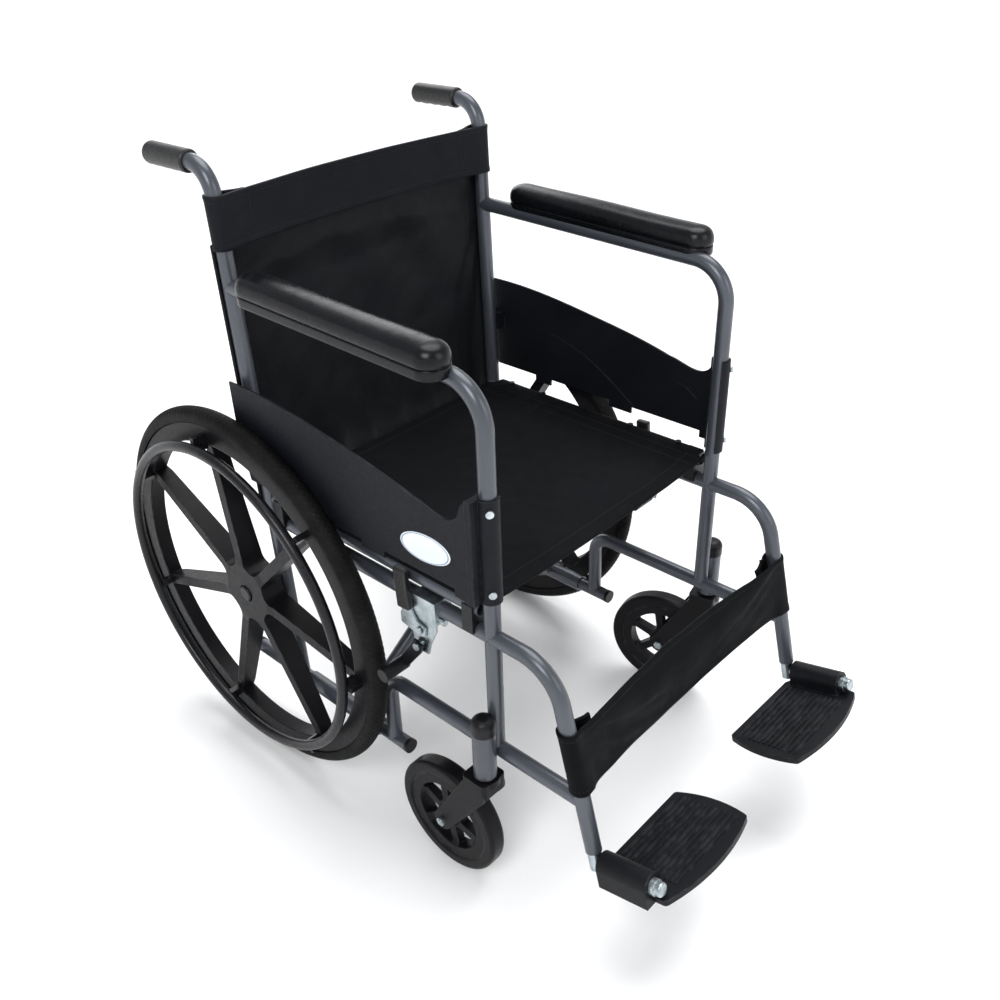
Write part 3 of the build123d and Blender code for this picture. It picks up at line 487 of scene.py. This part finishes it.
def settle(grid, pinned, frames, gravity, stiff, bend, cap):
    """Lets a grid of cloth hang from its pinned points with Blender's cloth, within a cap."""
    rows, columns = grid.shape[:2]
    trial = mesh_object("settling", grid.reshape(-1, 3), grid_faces(rows, columns))
    group = trial.vertex_groups.new(name="pin")
    group.add([int(i) for i in np.flatnonzero(pinned.ravel())], 1.0, "REPLACE")
    modifier = trial.modifiers.new("Cloth", "CLOTH")
    s = modifier.settings
    s.quality = 7
    s.mass = 0.25
    s.tension_stiffness = stiff
    s.compression_stiffness = stiff / 2
    s.shear_stiffness = stiff / 3
    s.bending_stiffness = bend
    s.air_damping = 3.0
    s.vertex_group_mass = "pin"
    s.effector_weights.gravity = gravity
    modifier.collision_settings.use_self_collision = False
    scene = bpy.context.scene
    for step in range(1, frames + 1):
        scene.frame_set(step)
    seen = trial.evaluated_get(bpy.context.evaluated_depsgraph_get())
    co = np.zeros(rows * columns * 3, np.float32)
    seen.data.vertices.foreach_get("co", co)
    moved = co.reshape(rows, columns, 3).astype(float) - grid
    far = np.linalg.norm(moved, axis=2, keepdims=True)
    moved *= np.minimum(1.0, cap / np.maximum(far, 1e-9))
    scene.frame_set(1)
    mesh = trial.data
    bpy.data.objects.remove(trial)
    bpy.data.meshes.remove(mesh)
    return grid + moved


def ripple(u, v, seed, scale):
    """A smooth, seeded unevenness from a few crossing waves."""
    pick = np.random.default_rng(seed)
    total = np.zeros(np.broadcast(u, v).shape)
    for _ in range(7):
        turn = pick.uniform(0, 2 * math.pi)
        k = 2 * math.pi / (scale * pick.uniform(0.6, 1.7))
        total += np.sin((u * math.cos(turn) + v * math.sin(turn)) * k + pick.uniform(0, 2 * math.pi))
    return total / 7


# ---------------------------------------------------------------- seat cloth
def seat():
    """The taut seat, sagging a little between its rails and turned down over them."""
    columns, rows = 109, 91
    turn_down, notch_x, notch_ramp, front_notch, rear_notch = 0.0078, 0.2265, 0.004, 0.0135, 0.0200
    half_x = FRAME_X + turn_down
    x = np.linspace(-half_x, half_x, columns)
    y = np.linspace(seat_low.y + 0.001, seat_high.y - 0.0005, rows)
    gx, gy = np.meshgrid(x, y)
    corner = np.clip((np.abs(gx) - notch_x) / notch_ramp, 0, 1)
    share = (gy - y[0]) / (y[-1] - y[0])
    front_y = y[0] + front_notch * corner
    rear_y = y[-1] - rear_notch * corner
    gy = front_y + share * (rear_y - front_y)
    rest = seat_low.z + CLOTH / 2 + 0.0002
    over = np.clip(np.abs(gx) - FRAME_X, 0, None)
    round_r = POST_R + CLOTH / 2 + 0.0005
    drop = round_r - np.sqrt(round_r**2 - over**2)
    span = np.clip(1 - (gx / (FRAME_X - 0.006)) ** 2, 0, None)
    depth = 0.0055 + 0.0025 * np.sin(math.pi * (gy - y[0]) / (y[-1] - y[0]))
    pulls = 0.0007 * ripple(gx, gy, 3, 0.07) * np.clip(span * 3, 0, 1)
    front = 0.0012 * np.exp(-((gy - y[0] - 0.035) / 0.012) ** 2) * np.clip(span * 2, 0, 1)
    grid = np.stack([gx, gy, rest - drop - depth * span + pulls - front], axis=2)
    grid = settle(grid, np.abs(gx) > FRAME_X - 0.012, 14, 0.35, 120.0, 6.0, 0.0035)
    seams = [("row", 5), ("row", rows - 5), ("column", 6), ("column", 10), ("column", columns - 7),
             ("column", columns - 11)]
    hems = [("row", 0, 6), ("row", rows - 6, rows)]
    made, flat = cloth_piece("seat_cloth", grid, FINISHES["seat_fabric"], seams, hems)
    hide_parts("seat_sling")
    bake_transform(made)


# ---------------------------------------------------------------- back cloth
BAND_LOW, BAND_HIGH = back_high.z - 0.070, back_high.z - 0.0008
SAG = 0.021


def sleeve_path(radius, sag, tail, steps=(10, 20, 72)):
    """A plan view path round one post's back, across in front, and round the other: x, and depth from the posts."""
    turn = np.linspace(math.pi / 2, 3 * math.pi / 2, steps[1])
    tail_x = np.linspace(tail, 0.004, steps[0])
    share = tail_x / tail
    ease = share * share * (3 - 2 * share)
    front_at_tail = -radius + sag * (1 - ((FRAME_X - tail) / FRAME_X) ** 2)
    tail_depth = radius * (1 - ease) + (front_at_tail + 0.0034) * ease
    right = [(-FRAME_X + a, d) for a, d in zip(tail_x, tail_depth)]
    right += [(-FRAME_X + radius * math.cos(t), radius * math.sin(t)) for t in turn]
    x = np.linspace(-FRAME_X, FRAME_X, steps[2])[1:-1]
    span = [(a, -radius + sag * (1 - (a / FRAME_X) ** 2)) for a in x]
    left = [(-a, d) for a, d in reversed(right)]
    return np.array(right + span + left)


def sleeve_grid(axis_y, low, high, radius, sag, tail, rows, edge_dip=0.0):
    """A band with a sleeve on each post, as a grid of points from its top to its bottom."""
    path = sleeve_path(radius, sag, tail)
    z = np.linspace(high, low, rows)
    grid = np.zeros((rows, len(path), 3))
    grid[:, :, 0] = path[None, :, 0]
    grid[:, :, 1] = path[None, :, 1] + np.array([axis_y(v) for v in z])[:, None]
    bow = edge_dip * (1 - (path[:, 0] / FRAME_X) ** 2)
    grid[:, :, 2] = z[:, None] - bow[None, :]
    return grid


def back_band():
    """The doubled band at the top of the back, sewn into a sleeve on each post."""
    rows = 19
    radius = POST_R + 0.0004 + CLOTH / 2
    grid = sleeve_grid(post_y, BAND_LOW, BAND_HIGH, radius, SAG, 0.045, rows)
    inside = np.clip(1 - np.abs(grid[:, :, 0]) / (FRAME_X - 0.014), 0, 1)
    soft = np.clip(inside * 6, 0, 1)
    grid[:, :, 1] += 0.0011 * soft * ripple(grid[:, :, 0], grid[:, :, 2], 11, 0.09)
    grid[:, :, 1] += 0.0018 * soft * np.sin((grid[:, :, 2] - BAND_LOW) / (BAND_HIGH - BAND_LOW) * math.pi)
    seams = [("row", 2), ("row", rows - 3), ("column", 36), ("column", grid.shape[1] - 37)]
    made, flat = cloth_piece("back_band", grid, band_cloth, seams, [("row", 0, 2), ("row", rows - 2, rows)])
    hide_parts("back_sling")
    fold_cloth(made)


def fold_cloth(made):
    """Cloth that spans the two frames is carried rigidly by the right frame, with a mesh of its own."""
    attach(made, "frame_right")
    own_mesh(made)


def back_panel():
    """The main back cloth: behind the posts, hanging in soft folds from the band to the seat."""
    columns, rows = 121, 97
    half_x = FRAME_X + 0.0135
    x = np.linspace(-half_x, half_x, columns)
    z = np.linspace(BAND_LOW + 0.006, back_low.z + 0.001, rows)
    gx, gz = np.meshgrid(x, z)
    behind = POST_R + SMOOTH_GAP + CLOTH / 2
    share = (z[0] - gz) / (z[0] - z[-1])
    across = np.clip(1 - (gx / (FRAME_X - 0.006)) ** 2, 0, None)
    band_depth = -POST_R + SAG * (1 - (gx / FRAME_X) ** 2) + 0.0045
    near = np.clip((np.abs(gx) - (FRAME_X - 0.05)) / 0.045, 0, 1)
    near = near * near * (3 - 2 * near)
    top_depth = band_depth * (1 - near) + behind * near
    free_depth = behind + (0.019 + 0.009 * np.sin(math.pi * np.clip(share * 1.05, 0, 1))) * across
    ease = np.clip(share / 0.22, 0, 1)
    ease = ease * ease * (3 - 2 * ease)
    depth = top_depth * (1 - ease) + free_depth * ease
    inner = np.clip(across * 2.2, 0, 1)
    folds = np.clip((share - 0.45) / 0.55, 0, 1) ** 1.3 * inner
    lean = gx + 0.22 * (gz - z[-1])
    depth += 0.0060 * folds * np.sin(2 * math.pi * lean / 0.072 + 1.3 * np.sin(gx * 19))
    depth += 0.0013 * folds * np.sin(2 * math.pi * lean / 0.039 + 2.0 * np.sin(gx * 31 + 0.7))
    depth += 0.0048 * ease * inner * ripple(gx, gz * 0.45, 5, 0.15)
    depth += 0.0014 * ease * inner * ripple(gx, gz, 9, 0.05)
    pull = gx + 0.62 * (gz - z[0])
    depth += 0.0036 * ease * (1 - share) * inner * np.sin(2 * math.pi * pull / 0.12)
    wrap = np.clip(np.abs(gx) - FRAME_X, 0, None)
    depth -= wrap**2 / 0.03
    grid = np.stack([gx, np.vectorize(post_y)(gz) + depth, gz], axis=2)
    pinned = (np.abs(gx) > FRAME_X - 0.012) | (share < 0.04)
    grid = settle(grid, pinned, 20, 0.5, 60.0, 2.0, 0.006)
    seams = [("row", rows - 4), ("column", 9), ("column", columns - 10)]
    hems = [("row", rows - 5, rows), ("column", 0, 10), ("column", columns - 10, columns)]
    made, flat = cloth_piece("back_cloth", grid, back_cloth, seams, hems)
    fold_cloth(made)


# ---------------------------------------------------------------- calf strap
def calf_strap():
    """The calf strap: a soft band with a sleeve on each hanger leg."""
    rows = 25
    low, high = calf_low.z + 0.0035, calf_high.z - 0.0012
    radius = POST_R + SMOOTH_GAP + CLOTH / 2
    grid = sleeve_grid(leg_y, low, high, radius, 0.019, 0.05, rows, 0.004)
    x, z = grid[:, :, 0], grid[:, :, 2]
    soft = np.clip((FRAME_X - 0.016 - np.abs(x)) / 0.05, 0, 1)
    twist = np.exp(-(((x + FRAME_X - 0.055) / 0.045) ** 2))
    grid[:, :, 1] += soft * (0.0022 * ripple(x, z, 21, 0.10) + 0.0045 * twist * np.sin((z - low) / (high - low) * 7.0))
    grid[:, :, 1] += soft * 0.0035 * np.cos((z - low) / (high - low) * 2 * math.pi)
    pinned = np.abs(x) > FRAME_X - 0.016
    grid = settle(grid, pinned, 16, 0.5, 60.0, 2.0, 0.006)
    last = grid.shape[1]
    seams = [("row", 2), ("row", rows - 3), ("column", 37), ("column", last - 38)]
    made, flat = cloth_piece("calf_band", grid, calf_cloth, seams, [("row", 0, 2), ("row", rows - 2, rows)])
    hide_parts("calf_strap")
    fold_cloth(made)


# ---------------------------------------------------------------- arm pads
PAD_PROFILE = [
    (0.0020, 0.0), (0.0006, 0.0006), (0.0, 0.0022), (0.0, 0.0068), (0.0, 0.0117), (0.0004, 0.0128),
    (0.0019, 0.0133), (0.0019, 0.0138), (0.0003, 0.0147), (-0.0005, 0.0166), (-0.0006, 0.0205),
    (-0.0001, 0.0245), (0.0013, 0.0286), (0.0037, 0.0325), (0.0074, 0.0354), (0.0115, 0.0371),
    (0.0160, 0.0381), (0.0200, 0.0386), (0.0230, 0.0388),
]
UNDER_PROFILE = (0.006, 0.010, 0.0135, 0.0165, 0.0195, 0.0230)
PAD_ABOVE_TUBE = 0.0017


def stadium(half_width, half_length, inset, count):
    """A slot's outline, run at an even pace so that insets line up."""
    radius = half_width - inset
    straight = half_length - half_width
    points = []
    quarter = count // 4
    for end in (1, -1):
        for k in range(quarter):
            turn = math.pi * k / (quarter - 1)
            points.append((end * radius * math.cos(turn), end * (straight + radius * math.sin(turn))))
        for k in range(1, quarter + 1):
            share = k / (quarter + 1)
            points.append((-end * radius, end * straight * (1 - 2 * share)))
    return points


def end_cap(start, count, upward):
    """Quads that close a slot-shaped ring of points, laid straight across it."""
    quarter = count // 4
    half = quarter // 2
    left = list(range(half - 1, -1, -1)) + list(range(count - 1, 3 * quarter - 1, -1))
    left += list(range(3 * quarter - 1, 2 * quarter + half - 1, -1))
    right = list(range(half, 2 * quarter + half))
    found = []
    for k in range(len(left) - 1):
        quad = (start + left[k], start + right[k], start + right[k + 1], start + left[k + 1])
        found.append(quad if upward else tuple(reversed(quad)))
    return found


def arm_pad(side):
    """A padded armrest: a firm base band, a pulled-in seam and a crowned vinyl top."""
    hand = "right" if side < 0 else "left"
    low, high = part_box(f"arm_pad_{hand}")
    half_width = (high.x - low.x) / 2
    half_length = (high.y - low.y) / 2
    centre_x = (low.x + high.x) / 2
    centre_y = (low.y + high.y) / 2
    base_z = ARM_Z + (centre_y - FRONT_Y) * ARM_SLOPE + PAD_ABOVE_TUBE
    count = 176
    bore = POST_R + 0.00035

    def over_tube(x, height):
        """Keeps a point out of the groove that the arm tube lies in."""
        aside = abs(centre_x + x - side * FRAME_X)
        return max(height, math.sqrt(max(0.0, bore**2 - aside**2)) - PAD_ABOVE_TUBE)

    points = []
    for inset, height in PAD_PROFILE:
        for x, y in stadium(half_width, half_length, inset, count):
            swell = 0.0005 * math.sin(y * 27 + side) * min(1.0, max(0.0, (height - 0.03) / 0.006))
            points.append((centre_x + x, centre_y + y, base_z + over_tube(x, height) + swell + y * ARM_SLOPE))
    levels = len(PAD_PROFILE)
    faces = grid_faces(levels, count, closed=True) + end_cap((levels - 1) * count, count, True)
    previous = 0
    for inset in UNDER_PROFILE:
        start = len(points)
        for x, y in stadium(half_width, half_length, inset, count):
            points.append((centre_x + x, centre_y + y, base_z + over_tube(x, 0.0) + y * ARM_SLOPE))
        for k in range(count):
            n = (k + 1) % count
            faces.append((previous + n, previous + k, start + k, start + n))
        previous = start
    faces += end_cap(previous, count, False)
    made = mesh_object(f"pad_vinyl_{hand}", points, faces)
    made.data.materials.append(FINISHES["pad_vinyl"])
    smooth_surface(made)
    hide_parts(f"arm_pad_{hand}")
    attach(made, f"frame_{hand}")


def smooth_surface(made):
    """Merges doubled points and applies one subdivision."""
    weld = made.modifiers.new("Weld", "WELD")
    weld.merge_threshold = 0.00002
    fine = made.modifiers.new("Subdivision", "SUBSURF")
    fine.levels = 1
    fine.render_levels = 1
    seen = made.evaluated_get(bpy.context.evaluated_depsgraph_get())
    mesh = bpy.data.meshes.new_from_object(seen)
    made.modifiers.clear()
    made.data = mesh


# ---------------------------------------------------------------- tyres with their tread
def tyre(side):
    """The rear tyre with a knurled tread and plain side walls."""
    hand = "right" if side < 0 else "left"
    low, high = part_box(f"tyre_{hand}")
    centre = np.array([(low.x + high.x) / 2, (low.y + high.y) / 2, (low.z + high.z) / 2])
    outer = (high.z - low.z) / 2
    section = 0.015
    crown = outer - section
    around, rows = 1152, 31
    reach = math.radians(112)
    phi = np.linspace(-reach, reach, rows)
    theta = np.linspace(0, 2 * math.pi, around, endpoint=False)
    gp, gt = np.meshgrid(phi, theta, indexing="ij")
    pitch = 2 * math.pi / 192
    skew = gp * section / (outer * pitch)
    first = np.abs(((gt / pitch + skew) % 1.0) - 0.5) * 2
    second = np.abs(((gt / pitch - skew) % 1.0) - 0.5) * 2
    cut = np.minimum(np.clip(first * 3.2, 0, 1), np.clip(second * 3.2, 0, 1))
    tread = np.clip((math.radians(66) - np.abs(gp)) / 0.08, 0, 1)
    ridge = np.exp(-(((np.abs(gp) - math.radians(78)) / 0.06) ** 2))
    radius = section - 0.0011 * (1 - cut) * tread + 0.0005 * ridge
    far = crown + radius * np.cos(gp)
    points = np.stack(
        [centre[0] + radius * np.sin(gp), centre[1] + far * np.cos(gt), centre[2] + far * np.sin(gt)], axis=2
    )
    made = mesh_object(f"tread_{hand}", points.reshape(-1, 3), grid_faces(rows, around, closed=True))
    made.data.materials.append(FINISHES["tyre_rubber"])
    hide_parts(f"tyre_{hand}")
    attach(made, f"wheel_{hand}")


# ---------------------------------------------------------------- details on the side panels
PANEL_LINES = {
    "long": [
        (0.3508, 0.5854), (0.3102, 0.5781), (0.2684, 0.5663), (0.2273, 0.5462), (0.1866, 0.5195), (0.1584, 0.5010),
    ],
    "short": [(0.1075, 0.5647), (0.0859, 0.5659), (0.0678, 0.5629), (0.0548, 0.5552), (0.0453, 0.5465)],
}


def panel_bead(side, kind):
    """A thin raised line moulded on the inner face of a side panel."""
    hand = "right" if side < 0 else "left"
    face = side * PANEL_INNER
    spine = PANEL_LINES[kind]
    samples = 70
    t = np.linspace(0, len(spine) - 1, samples)
    y = np.interp(t, range(len(spine)), [p[0] for p in spine])
    z = np.interp(t, range(len(spine)), [p[1] for p in spine])
    for _ in range(40):
        y[1:-1] = (y[:-2] + 2 * y[1:-1] + y[2:]) / 4
        z[1:-1] = (z[:-2] + 2 * z[1:-1] + z[2:]) / 4
    arc = np.linspace(0, math.pi, 9)
    points = []
    for k in range(samples):
        a, b = max(k - 1, 0), min(k + 1, samples - 1)
        run = np.array([y[b] - y[a], z[b] - z[a]])
        run /= np.linalg.norm(run)
        fade = min(1.0, k / 8, (samples - 1 - k) / 8) ** 0.5
        for turn in arc:
            off = 0.0015 * math.cos(turn) * max(fade, 0.05)
            inward = side * (0.0013 * math.sin(turn) * fade - 0.0003)
            points.append((face - inward, FRONT_Y + y[k] - run[1] * off, z[k] + run[0] * off))
    made = mesh_object(f"panel_bead_{kind}_{hand}", points, grid_faces(samples, len(arc)))
    made.data.materials.append(FINISHES["panel_plastic"])
    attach(made, f"frame_{hand}")


def label():
    """A plain oval label on the right panel, with a thin border and nothing on it."""
    blank = moulded("label_white", linear(206, 212, 220), linear(226, 230, 234), 0.34, 300.0, 0.00004)
    border = moulded("label_border", linear(108, 132, 158), linear(128, 150, 172), 0.36, 300.0, 0.00004)
    rings = [
        (1.0, 0.0), (0.985, 0.00035), (0.95, 0.0005), (0.90, 0.0005),
        (0.86, 0.00052), (0.6, 0.0006), (0.3, 0.00062), (0.02, 0.00062),
    ]
    centre_y, centre_z, half_long, half_tall, lean = FRONT_Y + 0.086, 0.537, 0.044, 0.0205, 0.004
    around = 96
    points = []
    for scale, rise in rings:
        for k in range(around):
            turn = 2 * math.pi * k / around
            points.append(
                (
                    -PANEL_OUTER - rise,
                    centre_y + half_long * scale * math.cos(turn),
                    centre_z + half_tall * scale * math.sin(turn) - lean * scale * math.cos(turn),
                )
            )
    faces = grid_faces(len(rings), around, closed=True)
    faces.append(tuple((len(rings) - 1) * around + k for k in range(around)))
    made = mesh_object("label_blank", points, faces)
    made.data.materials.append(blank)
    made.data.materials.append(border)
    slots = np.zeros(len(faces), np.int32)
    slots[2 * around : 3 * around] = 1
    made.data.polygons.foreach_set("material_index", slots)
    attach(made, "frame_right")


seat()
back_band()
back_panel()
calf_strap()
for hand_side in (-1, 1):
    arm_pad(hand_side)
    tyre(hand_side)
    panel_bead(hand_side, "long")
    panel_bead(hand_side, "short")
label()


# ---------------------------------------------------------------- floor, light and camera
def floor():
    """A pale floor that curves up into a backdrop far from the chair."""
    half, cells, flat_reach = 14.0, 56, 8.0
    line = np.linspace(-half, half, cells + 1)
    gx, gy = np.meshgrid(line, line)
    far = np.clip(np.hypot(gx, gy) - flat_reach, 0, 7.0)
    points = np.stack([gx, gy, 0.11 * far**2 - 0.0004], axis=2).reshape(-1, 3)
    made = mesh_object("studio_floor", points, grid_faces(cells + 1, cells + 1))
    f = Finish("studio_floor_paint")
    f.set("Base Color", f.mix(f.spread(f.noise(0.6, 3.0), 0.0, 1.0), (0.86, 0.86, 0.86, 1), (0.9, 0.9, 0.9, 1)))
    f.set("Roughness", 0.9)
    f.set("Specular IOR Level", 0.1)
    made.data.materials.append(f.done())


def softbox(name, place, aim, size, power):
    lamp = bpy.data.lights.new(name, "AREA")
    lamp.shape = "DISK"
    lamp.size = size
    lamp.energy = power
    made = bpy.data.objects.new(name, lamp)
    made.location = place
    made.rotation_euler = (Vector(aim) - Vector(place)).to_track_quat("-Z", "Y").to_euler()
    bpy.context.scene.collection.objects.link(made)


floor()
softbox("key", (-2.3, -1.2, 2.9), (0, 0, 0.4), 1.6, 60)
softbox("front", (0.6, -3.2, 2.2), (0, 0, 0.4), 2.0, 25)
softbox("rear", (1.6, 2.3, 1.9), (-0.1, 0, 0.75), 1.7, 16)
sun = bpy.data.lights.new("sky_panel", "SUN")
sun.energy = 2.7
sun.angle = math.radians(50)
sun_holder = bpy.data.objects.new("sky_panel", sun)
sun_holder.rotation_euler = Vector((0.35, 0.12, 1.0)).to_track_quat("Z", "Y").to_euler()
bpy.context.scene.collection.objects.link(sun_holder)
world = bpy.data.worlds.new("studio")
world.use_nodes = True
world.node_tree.nodes["Background"].inputs["Color"].default_value = (0.95, 0.97, 1.0, 1)
world.node_tree.nodes["Background"].inputs["Strength"].default_value = 0.55
bpy.context.scene.world = world
bpy.context.scene.view_settings.view_transform = "Standard"

turn, tilt, roll = math.radians(-45.493), math.radians(31.966), math.radians(-2.55)
back = Vector((math.sin(turn) * math.cos(tilt), -math.cos(turn) * math.cos(tilt), math.sin(tilt)))
level = Vector((math.cos(turn), math.sin(turn), 0))
right = level * math.cos(roll) + back.cross(level) * math.sin(roll)
up = back.cross(right)
lens = bpy.data.cameras.new("photo_camera")
lens.sensor_width = 36
lens.lens = 37.08
lens.shift_x = 0.019
lens.shift_y = 0.0128
camera = bpy.data.objects.new("photo_camera", lens)
pose = Matrix((right, up, back)).transposed().to_4x4()
pose.translation = (-0.9593, -0.9397, 1.2332)
camera.matrix_world = pose
bpy.context.scene.collection.objects.link(camera)
bpy.context.scene.camera = camera
